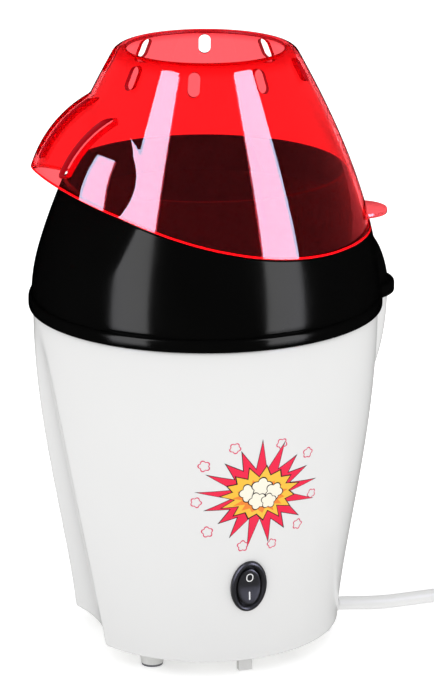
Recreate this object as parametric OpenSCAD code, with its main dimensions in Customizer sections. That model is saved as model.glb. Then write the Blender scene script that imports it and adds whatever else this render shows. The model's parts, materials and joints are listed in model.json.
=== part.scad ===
// Hot-air popcorn maker: a white housing with a motor, fan and heater under an open popping
// chamber, a black lift-off chute cover and a clear red lift-off lid with a spout hood.
// Everything is drawn around the upright axis of the housing, with the table at z = 0, and
// every node is moved by axis_x so that the body's box is centred on the origin.
// -X is the spout, +X the rear with the cord, -Y the side with the switch.

/* [Housing] */
// Radius of the housing at its bottom edge
base_r = 67.6; // [67:0.1:68]
// Radius of the housing at its top edge
rim_r = 86.2; // [85.6:0.1:86.6]
// Height of the bottom edge above the table
base_z = 8; // [7.6:0.1:8.4]
// Wall of the housing
housing_wall = 2.6; // [2.2:0.1:3]
// Distance from the axis to the middle of the flute at the bottom edge
flute_x = 56.1; // [55:0.1:58]
// Radius of the hollow curve of the flute
flute_r = 85; // [80:1:95]

/* [Chute cover] */
// Radius of the ring round the bottom of the cover
ring_r = 88.5; // [88:0.1:89]
// Wall of the cover
cover_wall = 2.5; // [2.2:0.1:2.8]
// Height of the level rim of the inner collar
collar_z = 244; // [240:1:245]
// Half angle of the gap in the collar where the popcorn leaves
sill_angle = 40; // [34:1:44]

/* [Lid] */
// Height of the top of the lid
lid_top = 305; // [304:0.5:306]
// Wall of the lid and its hood
lid_wall = 2.5; // [2.2:0.1:2.8]
// Radius of the feed opening
feed_r = 38.7; // [37:0.1:39]
// Radius of the thumb tab
tab_r = 15; // [12:0.5:16]
// Width of the three slots in the hood
hood_slot_w = 4.2; // [3:0.1:4.4]
// Distance from the middle slot to the slots on its sides
hood_slot_step = 24.5; // [20:0.5:26]
// Width of the eight vents round the top
vent_w = 6; // [5:0.1:6.5]

/* [Chamber and drive] */
// Inner radius of the popping chamber
chamber_r = 38; // [36:0.5:38]
// Number of angled air slots in the chamber
chamber_slots = 18; // [12:1:20]
// Number of blades on the fan
fan_blades = 14; // [8:1:16]
// Radius of the motor shaft
shaft_r = 1.6; // [1.5:0.05:1.6]
// Running clearance of the shaft in its bushes
shaft_gap = 0.05; // [0.02:0.01:0.08]

/* [Switch and cord] */
// Height of the middle of the switch
switch_z = 49.5; // [48:0.5:51]
// Swing of the rocker from off to on, in degrees
rocker_swing = 16; // [12:1:18]
// Diameter of the cord
cord_d = 7; // [6.8:0.1:7]
// Radius of the middle of the cord's coil
coil_r = 38.5; // [36:0.5:42]

/* [Hidden] */
$fn = 96;

eps = 0.01;
far = 400;                     // larger than anything in the model
steps = 12;                    // straight pieces in each long curve
gap = 0.3;                     // between bodies that lift off each other
rim_z = 174.2;                 // top edge of the housing
ring_z = rim_z + gap;          // underside of the cover's ring
ring_top = ring_z + 6.5;
dome_r = 87;                   // outside of the cover just above its ring
lobe_x = 77;                   // axis of the rear lobe
lobe_r = 18.4;                 // top of the lobe on the housing
lobe_top_r = 19.2;             // bottom of the lobe on the cover
lobe_ring_r = 22;
axis_x = -(lobe_x + lobe_ring_r - ring_r) / 2;

funnel_end = 81.1;             // outside of the dome where the funnel meets the collar

// seam between cover and lid: level at the back, then an arc that rises towards the spout
seam_z = 213.9;
seam_x = 50;
seam_r = 297;

// flattened chute face: a curve spun beside the axis trims the dome under the spout
face_x = 16.2;

// spout hood: an egg-shaped shell
hood_x = -29.2;
hood_z = 229;
hood_rx = 61;
hood_ry = 57;

// shoulder at the top of the lid, which starts where the dome leans in by this angle
shoulder_r = 6.5;
shoulder_x = 40.3;
shoulder_lean = 29;

// inside
plate_z = 9;                   // base plate
plate_top = 12;
deck_z = 168;                  // plate that carries the chamber
deck_t = 3;
deck_screw_at = 79;            // circle of the screws through that plate
neck_r = 41.4;                 // neck of the cover, inside the chamber's flange
floor_z = 106;                 // underside of the chamber
sleeve_r = 46;
shroud_z = 54;                 // underside of the fan housing
shroud_r = 56;
shroud_top = 84;
motor_r = 18;
can_wall = 1.2;
motor_z = 24;
cap_z = 20;
bush_r = 4;
leg_r = 48;                    // circle of the legs under the fan housing
magnet_gap = 0.1;
motor_screw_at = 10;
screw_r = 1.5;
post_at = [[29, 50], [29, -50], [-29, 50], [-29, -50]];
foot_at = [[-39.7, 38.6], [-39.7, -38.6], [55.5, 19], [55.5, -19]];
pad_t = 1.2;                   // part of each foot pad below its boss
lug_z = 0.4;                   // underside of the two lugs

// switch: the wall leans out upwards here, so the whole switch tilts with it
switch_y = -72.4;
switch_lean = 9;
bezel_w = 18.5;
bezel_h = 28;
bezel_t = 3.4;
bezel_body_w = 15.4;           // part of the bezel behind its flange
bezel_body_h = 22.8;
bezel_seat = -1.2;             // the flange sits this far inside the wall's face
bezel_depth = 9;
rocker_w = 12.3;
rocker_h = 20;
pivot_r = 1.2;                 // pins that the rocker turns on

// cord: route of the stretch that isn't coiled, from the strain relief to the coil
cord_r = cord_d / 2;
cord_z = 5;                    // axis of the strain relief
clamp_x = 27;                  // screws of the clamp inside, either side of the cord
clamp_y = -2.2;
clamp_gap = 7.5;
relief_start = 44;
relief_end = 71.6;
cord_route = [[72, 0, 5], [77, -0.3, 4.8], [82, -0.8, 4.4], [88, -1.3, 4], [94, -1.5, 3.7],
    [100, -1.5, 3.5], [108, -1.2, 3.5], [116, -0.8, 3.5], [124, -0.4, 3.5], [132, -0.1, 3.5],
    [140, 0, 3.5], [150, 0, 3.5], [160, 0, 3.5], [170, 0, 3.5], [182, 0, 3.5]];
coil_x = 206;
coil_y = -42;
plug_y = coil_y - coil_r - cord_r;
plug_x = 182;                  // tip of the plug's own relief, beside the coil
plug_z = 9;
plug_relief = 20;
plug_l = 37;
pin_l = 19;
pin_r = 2.4;
pin_gap = 19;
inner_route = [[43.8, 0, 5], [39, 0, 5.2], [35, -1, 7], [33.4, -2, 11], [33.4, -2.4, 15],
    [35, -3.4, 18.6], [38, -6, 20]];
live_route = [[42, -24, 18], [42.5, -29, 19], [43.5, -35, 22], [41, -40, 27], [36, -42, 33],
    [30, -43.5, 38], [20, -50, 42.5], [9, -55, 45.2], [0, -57.4, 46.4]];
switched_route = [[0, -58.6, 54.6], [12, -59, 53], [26, -55, 51], [42, -46, 52], [55, -28, 58],
    [60, -8, 75], [58, 6, 95], [55, 11, 108], [54, 12, 116.2]];

// every node is drawn around the axis of the housing and moved here
module placed() {
    translate([axis_x, 0, 0]) children();
}

// ---------- shared curves ----------

function bezier(a, b, c, d, t) =
    a * pow(1 - t, 3) + 3 * b * t * pow(1 - t, 2) + 3 * c * t * t * (1 - t) + d * pow(t, 3);
function curve(a, b, c, d) = [for (i = [0:steps]) bezier(a, b, c, d, i / steps)];
function inset(points, by) = [for (p = points) [max(p[0] - by, 0), p[1]]];
function arc(c, r, from, to) = [for (i = [0:6]) let (a = from + (to - from) * i / 6)
    [c[0] + r * cos(a), c[1] + r * sin(a)]];

// half sections, as [radius, height]
housing_line = curve([base_r, base_z], [base_r + 2, 50], [rim_r - 0.2, 105], [rim_r, rim_z]);
lobe_line = curve([0, 116], [7, 118], [lobe_r - 0.2, 140], [lobe_r, rim_z]);
dome_line = curve([dome_r, 184], [85, 218], [70.7, 257.1], [46, 301.6]);
lobe_top_line = curve([lobe_top_r, ring_z], [18.4, 190], [13.4, 207], [0, 210]);
face_line = curve([102.8, 182], [102.4, 196], [94.2, 218], [88.2, 233]);

// solid of revolution between the axis and a half section
module spun(line) {
    rotate_extrude() polygon(concat([[0, line[0][1]]], line, [[0, line[len(line) - 1][1]]]));
}

module ring(outer, inner, z, h) {
    translate([0, 0, z]) difference() {
        cylinder(r = outer, h = h);
        translate([0, 0, -1]) cylinder(r = inner, h = h + 2);
    }
}

// flat plate with round ends, width along Y and height along Z, thickness along X
module stadium(w, h, t) {
    rotate([0, 90, 0]) linear_extrude(t) {
        square([h - w, w], center = true);
        for (s = [-1, 1]) translate([s * (h - w) / 2, 0]) circle(d = w, $fn = 32);
    }
}

// flat oval plate, placed like the stadium
module oval(w, h, t) {
    rotate([0, 90, 0]) linear_extrude(t) scale([h / w, 1]) circle(d = w, $fn = 64);
}

// everything above the seam, moved up by lift
module above_seam(lift) {
    translate([seam_x, 0, seam_z + seam_r + lift]) rotate([90, 0, 0])
        cylinder(r = seam_r, h = far, center = true, $fn = 360);
    translate([seam_x, -far / 2, seam_z + lift]) cube([far, far, far]);
}

// ---------- cord and wires ----------

function unit(v) = v / norm(v);
function heading(path, i) =
    unit(path[min(i + 1, len(path) - 1)] - path[max(i - 1, 0)]);
function side_of(v) = unit(cross(v, abs(v[2]) > 0.9 ? [0, 1, 0] : [0, 0, 1]));
function ring_at(path, i, r, n) =
    let (v = heading(path, i), s = side_of(v), u = cross(s, v))
    [for (k = [0:n - 1]) path[i] + r * (cos(360 * k / n) * s + sin(360 * k / n) * u)];

// closed tube of n sides that follows a route, with one ring at each of its points
module tube(path, r, n) {
    rings = len(path);
    polyhedron(
        points = [for (i = [0:rings - 1]) each ring_at(path, i, r, n)],
        faces = concat(
            [[for (k = [n - 1:-1:0]) k]],
            [for (i = [0:rings - 2], k = [0:n - 1])
                [i * n + k, i * n + (k + 1) % n, (i + 1) * n + (k + 1) % n]],
            [for (i = [0:rings - 2], k = [0:n - 1])
                [i * n + k, (i + 1) * n + (k + 1) % n, (i + 1) * n + k]],
            [[for (k = [0:n - 1]) (rings - 1) * n + k]]),
        convexity = 6);
}

// ---------- housing ----------

module flute(grow) {
    translate([-flute_x, 0, base_z]) rotate([0, -atan(0.19), 0])
        translate([-flute_r, 0, -60]) cylinder(r = flute_r + grow, h = 300, $fn = 360);
}

module housing_space(by) {
    spun(inset(housing_line, by));
    translate([lobe_x, 0, 0]) spun(inset(lobe_line, by));
}

module housing_hollow() {
    difference() {
        union() {
            housing_space(housing_wall);
            // open at the bottom and at the top
            translate([0, 0, base_z - 1]) cylinder(r = base_r - housing_wall, h = 1 + eps);
            translate([0, 0, rim_z - eps]) cylinder(r = rim_r - housing_wall, h = 2);
            translate([lobe_x, 0, rim_z - eps]) cylinder(r = lobe_r - housing_wall, h = 2);
        }
        flute(housing_wall);
    }
}

// pillar that takes a base screw, with a rib to the wall
module housing_post(x, y) {
    translate([x, y, plate_top]) cylinder(r = 4, h = 24, $fn = 32);
    translate([x, y, plate_top]) rotate([0, 0, atan2(y, x)])
        translate([0, -1, 0]) cube([20, 2, 24]);
}

module housing() {
    color("whitesmoke") placed() difference() {
        union() {
            difference() {
                housing_space(0);
                flute(0);
                housing_hollow();
            }
            intersection() {
                union() {
                    for (p = post_at) housing_post(p[0], p[1]);
                    ring(85, 75, deck_z - 4, 3.8);
                }
                difference() {
                    housing_space(eps);
                    flute(-eps);
                }
            }
        }
        for (p = post_at) translate([p[0], p[1], plate_top - 1])
            cylinder(r = screw_r, h = 16, $fn = 32);
        deck_screw_places() translate([0, 0, deck_z - 8]) cylinder(r = screw_r, h = 20, $fn = 32);
        // flat seat and opening for the switch
        switch_frame() {
            translate([bezel_seat, 0, 0]) oval(bezel_w + 0.1, bezel_h + 0.1, 10);
            translate([-20, 0, 0]) stadium(bezel_body_w + 0.2, bezel_body_h + 0.2, 40);
        }
        // mouse hole for the cord's strain relief
        translate([55, 0, cord_z]) rotate([0, 90, 0]) cylinder(r = 5.4, h = 20, $fn = 48);
    }
}

module deck_screw_places() {
    for (a = [45:90:315]) rotate([0, 0, a]) translate([deck_screw_at, 0, 0]) children();
}

module base_plate() {
    color("gainsboro") placed() difference() {
        union() {
            intersection() {
                translate([0, 0, plate_z]) cylinder(r = base_r - housing_wall - 0.4,
                    h = plate_top - plate_z);
                difference() {
                    cylinder(r = far, h = 20);
                    flute(housing_wall + 0.4);
                }
            }
            for (p = foot_at) translate([p[0], p[1], pad_t])
                cylinder(r1 = 5.6, r2 = 6.8, h = plate_z - pad_t + eps, $fn = 48);
            // lugs under the front and the back edge
            for (s = [-1, 1]) translate([2, s * 60, (lug_z + plate_z) / 2])
                cube([7, 3.5, plate_z - lug_z + eps], center = true);
            // saddle that holds the strain relief
            translate([42, -8, 0.8]) cube([14, 16, plate_z - 0.8 + eps]);
            // legs under the fan housing and posts under the rectifier
            for (a = [45:90:315]) rotate([0, 0, a]) translate([leg_r, 0, plate_top - eps])
                cylinder(r = 4, h = shroud_z - plate_top + eps, $fn = 32);
            for (s = [-1, 1]) translate([0, s * 11, plate_top - eps])
                cylinder(r = 2, h = 3 + eps, $fn = 24);
        }
        translate([30, 0, cord_z]) rotate([0, 90, 0]) cylinder(r = 4.8, h = 40, $fn = 48);
        translate([33.4, -2.2, 0]) cylinder(r = 4.6, h = 20, $fn = 48);
        for (p = post_at) translate([p[0], p[1], 0]) cylinder(r = screw_r + 0.1, h = 20, $fn = 32);
        for (a = [45:90:315]) rotate([0, 0, a]) translate([leg_r, 0, shroud_z - 12])
            cylinder(r = screw_r, h = 20, $fn = 32);
        for (s = [-1, 1]) translate([clamp_x, clamp_y + s * clamp_gap, 0])
            cylinder(r = 1.2, h = 20, $fn = 24);
        // air intake
        for (a = [20:20:340]) rotate([0, 0, a]) translate([20, -2, 0]) cube([19, 4, 20]);
    }
}

module foot_pads() {
    color("dimgray") placed() for (p = foot_at) translate([p[0], p[1], 0])
        cylinder(r1 = 5.3, r2 = 5.6, h = pad_t, $fn = 48);
}

// pan-head screw, head down, with its shank going up
module screw(r, l, head) {
    translate([0, 0, -eps]) cylinder(r = r, h = l + eps, $fn = 32);
    translate([0, 0, -head]) cylinder(r1 = 1.6 * r, r2 = 2 * r, h = head, $fn = 32);
}

module base_screws() {
    color("silver") placed() for (p = post_at) translate([p[0], p[1], plate_z]) screw(screw_r, 18, 2);
}

module top_deck() {
    color("black") placed() difference() {
        intersection() {
            union() {
                translate([0, 0, deck_z]) cylinder(r = rim_r - housing_wall - 0.6, h = deck_t);
                translate([lobe_x, 0, deck_z]) cylinder(r = lobe_r - housing_wall - 0.6, h = deck_t);
            }
            difference() {
                cylinder(r = far, h = far);
                flute(housing_wall + 0.5);
            }
        }
        translate([0, 0, deck_z - 1]) cylinder(r = chamber_r + 2.4, h = deck_t + 2);
        deck_screw_places() translate([0, 0, deck_z - 1])
            cylinder(r = screw_r + 0.2, h = 10, $fn = 32);
    }
}

module deck_screws() {
    color("silver") placed() deck_screw_places() translate([0, 0, deck_z + deck_t])
        rotate([180, 0, 0]) screw(screw_r, 10, 1.6);
}

// ---------- chamber and heater ----------

module popping_chamber() {
    wall = 1.2;
    flange_z = deck_z + deck_t;
    color("lightgray") placed() difference() {
        rotate_extrude() polygon([[0, floor_z + 6], [chamber_r - 10, floor_z + 4],
            [chamber_r - 2, floor_z + 1], [chamber_r + wall, floor_z + 1],
            [chamber_r + wall, flange_z], [50, flange_z], [50, flange_z + wall],
            [chamber_r, flange_z + wall], [chamber_r, floor_z + 1 + wall],
            [chamber_r - 2, floor_z + 1 + wall], [chamber_r - 10, floor_z + 4 + wall],
            [0, floor_z + 6 + wall]]);
        for (i = [0:chamber_slots - 1]) rotate([0, 0, 360 * i / chamber_slots])
            translate([chamber_r + 0.6, 0, floor_z + 11]) rotate([0, 0, 50])
            cube([10, 1.8, 12], center = true);
    }
}

module heater_sleeve() {
    color("silver") placed() ring(sleeve_r, sleeve_r - 1, shroud_top + 2, deck_z - shroud_top - 2);
}

module torus(big, small) {
    rotate_extrude() translate([big, 0]) circle(r = small, $fn = 24);
}

module heater_coil() {
    color("slategray") placed() for (r = [34, 26]) translate([0, 0, 98]) torus(r, 2.2);
}

module dropper_coil() {
    color("slategray") placed() translate([0, 0, 94]) torus(17, 1.8);
}

module mica_frame() {
    color("wheat") placed() difference() {
        union() {
            translate([0, 0, 97]) cube([88, 0.8, 14], center = true);
            translate([0, 0, 97]) cube([0.8, 88, 14], center = true);
        }
        for (r = [34, 26]) translate([0, 0, 98]) torus(r, 2.3);
        translate([0, 0, 94]) torus(17, 1.9);
    }
}

module thermostat() {
    color("tan") placed() rotate([0, 0, 15]) translate([sleeve_r, 0, 118]) rotate([0, 90, 0]) {
        cylinder(r = 8, h = 5, $fn = 48);
        for (s = [-1, 1]) translate([-0.4, s * 4 - 1.5, 5 - eps]) cube([0.8, 3, 5]);
    }
}

module thermal_fuse() {
    color("white") placed() rotate([0, 0, 140]) translate([sleeve_r + 2.1, 0, 120]) rotate([90, 0, 0])
        cylinder(r = 2, h = 14, center = true, $fn = 32);
}

// ---------- fan housing, motor and rotor ----------

module fan_shroud() {
    color("dimgray") placed() difference() {
        union() {
            translate([0, 0, shroud_z]) cylinder(r = shroud_r, h = 2);
            ring(shroud_r, shroud_r - 2, shroud_z, shroud_top - shroud_z);
            ring(shroud_r, sleeve_r - 1, shroud_top - eps, 2);
        }
        translate([0, 0, shroud_z - 1]) cylinder(r = bush_r + 0.4, h = 4, $fn = 48);
        // air inlet between four spokes
        translate([0, 0, shroud_z - 1]) difference() {
            cylinder(r = 34, h = 4);
            translate([0, 0, -1]) cylinder(r = 20, h = 6);
            for (a = [0, 90]) rotate([0, 0, a]) translate([-40, -4, -1]) cube([80, 8, 6]);
        }
        for (a = [45:90:315]) rotate([0, 0, a]) translate([leg_r, 0, shroud_z - 1])
            cylinder(r = screw_r + 0.1, h = 4, $fn = 32);
        for (s = [-1, 1]) translate([0, s * motor_screw_at, shroud_z - 1])
            cylinder(r = 1.3, h = 4, $fn = 24);
    }
}

module shroud_screws() {
    color("silver") placed() for (a = [45:90:315]) rotate([0, 0, a])
        translate([leg_r, 0, shroud_z + 2]) rotate([180, 0, 0]) screw(screw_r, 10, 1.4);
}

module motor_can() {
    color("silver") placed() difference() {
        translate([0, 0, motor_z]) cylinder(r = motor_r, h = shroud_z - motor_z);
        translate([0, 0, motor_z - 1]) cylinder(r = motor_r - can_wall, h = shroud_z - motor_z - 0.6);
        translate([0, 0, shroud_z - 4]) cylinder(r = bush_r, h = 8, $fn = 48);
        for (s = [-1, 1]) translate([0, s * motor_screw_at, shroud_z - 4])
            cylinder(r = 1.2, h = 8, $fn = 24);
    }
}

module motor_end_cap() {
    color("black") placed() difference() {
        translate([0, 0, cap_z]) cylinder(r = motor_r, h = motor_z - cap_z);
        translate([0, 0, cap_z + 0.6]) cylinder(r = bush_r, h = 8, $fn = 48);
    }
}

module motor_magnets() {
    color("darkslategray") placed() difference() {
        ring(motor_r - can_wall - magnet_gap, 13.4, 30, 20);
        translate([-4, -far / 2, 0]) cube([8, far, far]);
    }
}

module motor_bushes() {
    color("peru") placed() for (z = [cap_z + 0.6, shroud_z - 1.6])
        ring(bush_r, shaft_r + shaft_gap, z, 3.4);
}

module motor_brushes() {
    color("dimgray") placed() for (s = [-1, 1]) translate([s * 8.2, 0, 27])
        cube([7, 3, 3], center = true);
}

module motor_screws() {
    color("silver") placed() for (s = [-1, 1]) translate([0, s * motor_screw_at, shroud_z + 2])
        rotate([180, 0, 0]) screw(1.2, 5, 1);
}

module rectifier_board() {
    color("seagreen") placed() translate([0, 0, plate_top + 3]) cylinder(r = 15, h = 1.6);
}

module rectifier_diodes() {
    color("black") placed() for (x = [-6, 6], y = [-4, 4]) translate([x, y, plate_top + 4.6 + 1.3])
        rotate([0, 90, 0]) cylinder(r = 1.3, h = 5, center = true, $fn = 24);
}

module motor_shaft() {
    color("silver") placed() translate([0, 0, cap_z + 0.8]) cylinder(r = shaft_r, h = 59, $fn = 48);
}

module armature() {
    color("peru") placed() ring(12.6, shaft_r, 32, 16);
}

module commutator() {
    color("orange") placed() ring(4.6, shaft_r, 25.4, 5);
}

module fan_impeller() {
    hub_z = shroud_z + 5;
    color("gainsboro") placed() {
        ring(7, shaft_r, hub_z, 14);
        ring(46, 6.9, hub_z, 1.6);
        for (i = [0:fan_blades - 1]) rotate([0, 0, 360 * i / fan_blades])
            translate([18, 0, hub_z + 1.6 - eps]) rotate([0, 0, 24])
            cube([26, 1.2, 16]);
    }
}

module fan_clip() {
    color("silver") placed() ring(4, shaft_r, shroud_z + 19, 2.4);
}

// ---------- chute cover ----------

// the space that flattens the dome under the spout
module chute_face(by) {
    line = inset(face_line, by);
    translate([face_x, 0, 0]) spun(concat(line, [[60 - by, 300]]));
    translate([0, 0, 100]) cylinder(r = 160, h = face_line[0][1] - 100 + eps);
}

module dome(by) {
    intersection() {
        spun(concat([[dome_r - by, ring_z - 0.2]], inset(dome_line, by)));
        chute_face(by);
    }
}

// ring round the bottom edge, with its corners rounded off
module cover_ring(r) {
    spun([[r - 0.9, ring_z], [r, ring_z + 1], [r, ring_top - 1.8], [r - 0.8, ring_top - 0.4],
        [r - 1.7, ring_top]]);
}

module chute_cover() {
    collar_out = lid_wall + 0.7;
    collar_in = collar_out + 2.2;
    color([0.09, 0.09, 0.1]) placed() difference() {
        union() {
            difference() {
                union() {
                    dome(0);
                    translate([lobe_x, 0, 0]) spun(lobe_top_line);
                    cover_ring(ring_r);
                    translate([lobe_x, 0, 0]) cover_ring(lobe_ring_r);
                }
                dome(cover_wall);
                translate([lobe_x, 0, -eps]) spun(inset(lobe_top_line, cover_wall));
                translate([0, 0, ring_z - 1]) cylinder(r = 84, h = 3);
                translate([lobe_x, 0, ring_z - 1]) cylinder(r = lobe_top_r - cover_wall - 0.3, h = 3);
                above_seam(-0.2);
            }
            // level collar inside the lid, open towards the spout
            intersection() {
                difference() {
                    spun(inset(dome_line, collar_out));
                    translate([0, 0, -eps]) spun(inset(dome_line, collar_in));
                    translate([0, 0, collar_z]) cylinder(r = far, h = far);
                    cylinder(r = far, h = 205);
                    intersection() {
                        above_seam(-0.2);
                        spout_wedge();
                    }
                }
                chute_face(0.6);
            }
            // web that closes the top between dome and collar
            intersection() {
                difference() {
                    above_seam(-2.9);
                    above_seam(-0.2);
                }
                difference() {
                    dome(eps);
                    translate([0, 0, -eps]) spun(inset(dome_line, collar_in - eps));
                }
            }
            funnel(collar_in);
        }
        cylinder(r = far, h = ring_z);
    }
    color([0.09, 0.09, 0.1]) placed() ring(neck_r + 2.6, neck_r, deck_z + deck_t + 1.8, 10);
}

module spout_wedge() {
    rotate([0, 0, 180 - sill_angle]) rotate_extrude(angle = 2 * sill_angle)
        translate([40, 190]) square([60, 80]);
}

// inside of the cover, from the collar down to the neck over the chamber
module funnel(by) {
    line = curve([neck_r, 182], [46, 192], [66, 205], [funnel_end - by, 221]);
    rotate_extrude() polygon(concat([for (p = line) [p[0], p[1] + 2.6]],
        [for (i = [steps:-1:0]) [line[i][0] + 2, line[i][1]]]));
}

// ---------- lid ----------

module hood(by) {
    translate([hood_x, 0, hood_z]) rotate([90, 0, 0]) rotate_extrude()
        polygon(concat([[0, -hood_ry + by]],
            [for (a = [-85:5:85]) [(hood_rx - by) * cos(a), (hood_ry - by) * sin(a)]],
            [[0, hood_ry - by]]));
}

module lid_space(by) {
    spun(concat([for (p = inset(dome_line, by)) if (p[1] < lid_top - 5) p],
        arc([shoulder_x, lid_top - shoulder_r], shoulder_r - by * cos(shoulder_lean),
            shoulder_lean, 90)));
}

module lid() {
    color([0.9, 0.05, 0.1, 0.6]) placed() intersection() {
        difference() {
            union() {
                lid_space(0);
                hood(0);
                translate([80, 0, seam_z + 1]) cylinder(r = tab_r, h = 2.6);
            }
            lid_space(lid_wall);
            hood(lid_wall);
            // feed opening with a thin lip
            translate([0, 0, lid_top - 8]) cylinder(r = feed_r, h = 20);
            // slots that follow the hood
            for (y = [-hood_slot_step, 0, hood_slot_step])
                translate([-100, y, y == 0 ? 268.5 : 263.8]) stadium(hood_slot_w, 28, 48);
            // vents round the top
            for (s = [-1, 1], a = [26.5:40:146.5]) rotate([0, 0, 180 + s * a])
                translate([42.5, 0, 296]) stadium(vent_w, 11, 20);
        }
        above_seam(0.2);
    }
}

// ---------- switch ----------

// frame of the switch: +X points out of the front face and Z up it
module switch_frame() {
    translate([0, switch_y, switch_z]) rotate([switch_lean, 0, 0]) rotate([0, 0, -90])
        children();
}

module switch_bezel() {
    color("black") placed() switch_frame() difference() {
        union() {
            translate([bezel_seat, 0, 0]) oval(bezel_w, bezel_h, bezel_t);
            translate([-bezel_depth, 0, 0]) stadium(bezel_body_w, bezel_body_h, bezel_depth);
        }
        translate([1.5 - bezel_depth, 0, 0]) oval(rocker_w + 0.8, rocker_h + 0.2, 20);
        rotate([90, 0, 0]) cylinder(r = pivot_r + 0.1, h = 14.8, center = true, $fn = 32);
    }
}

// two shallow faces that meet over the pivot; the upper one is pushed in when it is off
module switch_rocker() {
    end = rocker_h / 2 - 0.6;
    color("dimgray") placed() switch_frame() rotate([0, -rocker_swing / 2, 0]) {
        intersection() {
            rotate([90, 0, 0]) linear_extrude(rocker_w, center = true)
                polygon([[-6, -5], [-1, -end], [2.6, -end], [1.6, 0], [2.6, end], [-1, end],
                    [-6, 5]]);
            translate([-8, 0, 0]) oval(rocker_w - 0.4, rocker_h - 1.2, 20);
        }
        rotate([90, 0, 0]) cylinder(r = pivot_r, h = 14.2, center = true, $fn = 32);
    }
}

module switch_terminals() {
    color("goldenrod") placed() switch_frame() for (z = [-5, 5])
        translate([-bezel_depth - 4, -2.4, z - 0.4]) cube([4, 4.8, 0.8]);
}

// ---------- mains side ----------

module terminal_block() {
    color("ivory") placed() translate([37, -24, plate_top]) cube([10, 16, 11]);
}

module cord_clamp() {
    color("gainsboro") placed() difference() {
        translate([clamp_x - 2.5, clamp_y - 10, plate_top]) cube([4.4, 20, 4]);
        for (s = [-1, 1]) translate([clamp_x, clamp_y + s * clamp_gap, 0])
            cylinder(r = 1.4, h = 20, $fn = 24);
    }
}

module clamp_screws() {
    color("silver") placed() for (s = [-1, 1])
        translate([clamp_x, clamp_y + s * clamp_gap, plate_top + 4])
        rotate([180, 0, 0]) screw(1.2, 6, 1);
}

module inner_cord() {
    color("white") placed() tube(inner_route, cord_r, 10);
}

module live_wire() {
    color("saddlebrown") placed() tube(live_route, 1.2, 8);
}

module switched_wire() {
    color("saddlebrown") placed() tube(switched_route, 1.2, 8);
}

module strain_relief() {
    color("white") placed() translate([relief_start, 0, cord_z])
        rotate([0, 90, 0]) cylinder(r1 = 4.8, r2 = 4.1, h = relief_end - relief_start, $fn = 48);
}

module power_cord() {
    color("white") placed() tube(cord_route, cord_r, 10);
}

module power_cord_coil() {
    color("white") placed() translate([coil_x, coil_y, 0]) ring(coil_r + cord_d, coil_r - cord_d, 0,
        2 * cord_d);
}

module coil_tie() {
    color("black") placed() translate([coil_x, coil_y + coil_r, 0]) difference() {
        translate([-2.5, -cord_d - 1.2, 0]) cube([5, 2 * cord_d + 2.4, 2 * cord_d + 1.2]);
        translate([-5, -cord_d - 0.2, -1]) cube([10, 2 * cord_d + 0.4, 2 * cord_d + 1]);
    }
}

module plug_body() {
    color("white") placed() {
        translate([plug_x, plug_y, plug_z]) rotate([0, -90, 0])
            cylinder(r1 = 3.6, r2 = 5.6, h = plug_relief + eps, $fn = 32);
        translate([plug_x - plug_relief, plug_y, plug_z]) rotate([0, -90, 0]) linear_extrude(plug_l) {
            square([18, 18], center = true);
            for (s = [-1, 1]) translate([0, s * 9]) circle(r = 9, $fn = 48);
        }
    }
}

module plug_pins() {
    color("silver") placed() for (s = [-1, 1])
        translate([plug_x - plug_relief - plug_l, plug_y + s * pin_gap / 2, plug_z])
        rotate([0, -90, 0]) cylinder(r = pin_r, h = pin_l, $fn = 32);
}

housing();
base_plate();
foot_pads();
base_screws();
top_deck();
deck_screws();
popping_chamber();
heater_sleeve();
mica_frame();
heater_coil();
dropper_coil();
thermostat();
thermal_fuse();
fan_shroud();
shroud_screws();
motor_can();
motor_end_cap();
motor_magnets();
motor_bushes();
motor_brushes();
motor_screws();
rectifier_board();
rectifier_diodes();
motor_shaft();
armature();
commutator();
fan_impeller();
fan_clip();
chute_cover();
lid();
switch_bezel();
switch_rocker();
switch_terminals();
terminal_block();
cord_clamp();
clamp_screws();
inner_cord();
live_wire();
switched_wire();
strain_relief();
power_cord();
power_cord_coil();
coil_tie();
plug_body();
plug_pins();
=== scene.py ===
"""Looks for the hot-air popcorn maker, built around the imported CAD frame.

Lengths in the shape functions are millimetres around the upright axis of the housing;
place() turns them into metres in the row frame.
"""

import json
import math

import bmesh
import bpy
import numpy as np
from mathutils import Matrix, Vector


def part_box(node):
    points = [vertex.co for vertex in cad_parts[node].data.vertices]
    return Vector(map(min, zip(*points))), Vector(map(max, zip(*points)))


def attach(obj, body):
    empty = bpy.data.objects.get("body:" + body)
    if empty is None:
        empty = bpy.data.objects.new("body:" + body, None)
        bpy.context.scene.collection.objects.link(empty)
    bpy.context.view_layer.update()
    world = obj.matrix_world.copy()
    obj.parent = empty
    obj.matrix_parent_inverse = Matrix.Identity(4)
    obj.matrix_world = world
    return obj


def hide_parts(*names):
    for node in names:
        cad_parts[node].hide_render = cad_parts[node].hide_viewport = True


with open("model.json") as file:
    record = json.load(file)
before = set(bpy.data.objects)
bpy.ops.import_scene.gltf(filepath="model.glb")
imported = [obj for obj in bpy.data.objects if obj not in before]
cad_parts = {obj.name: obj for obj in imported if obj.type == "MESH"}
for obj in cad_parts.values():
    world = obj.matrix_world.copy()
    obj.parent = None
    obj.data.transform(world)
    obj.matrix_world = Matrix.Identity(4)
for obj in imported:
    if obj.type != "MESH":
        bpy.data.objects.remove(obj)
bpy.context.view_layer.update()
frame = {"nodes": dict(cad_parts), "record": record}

MM = 0.001


def middle(node):
    """Centre of a CAD node's box."""
    low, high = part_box(node)
    return (low + high) / 2


AXIS = middle("popping_chamber").x
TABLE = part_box("foot_pads")[0].z


def place(x, y, z):
    """A point in millimetres around the axis, as metres in the row frame."""
    return Vector((x * MM + AXIS, y * MM, z * MM + TABLE))


# ---------------------------------------------------------------- camera

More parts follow.
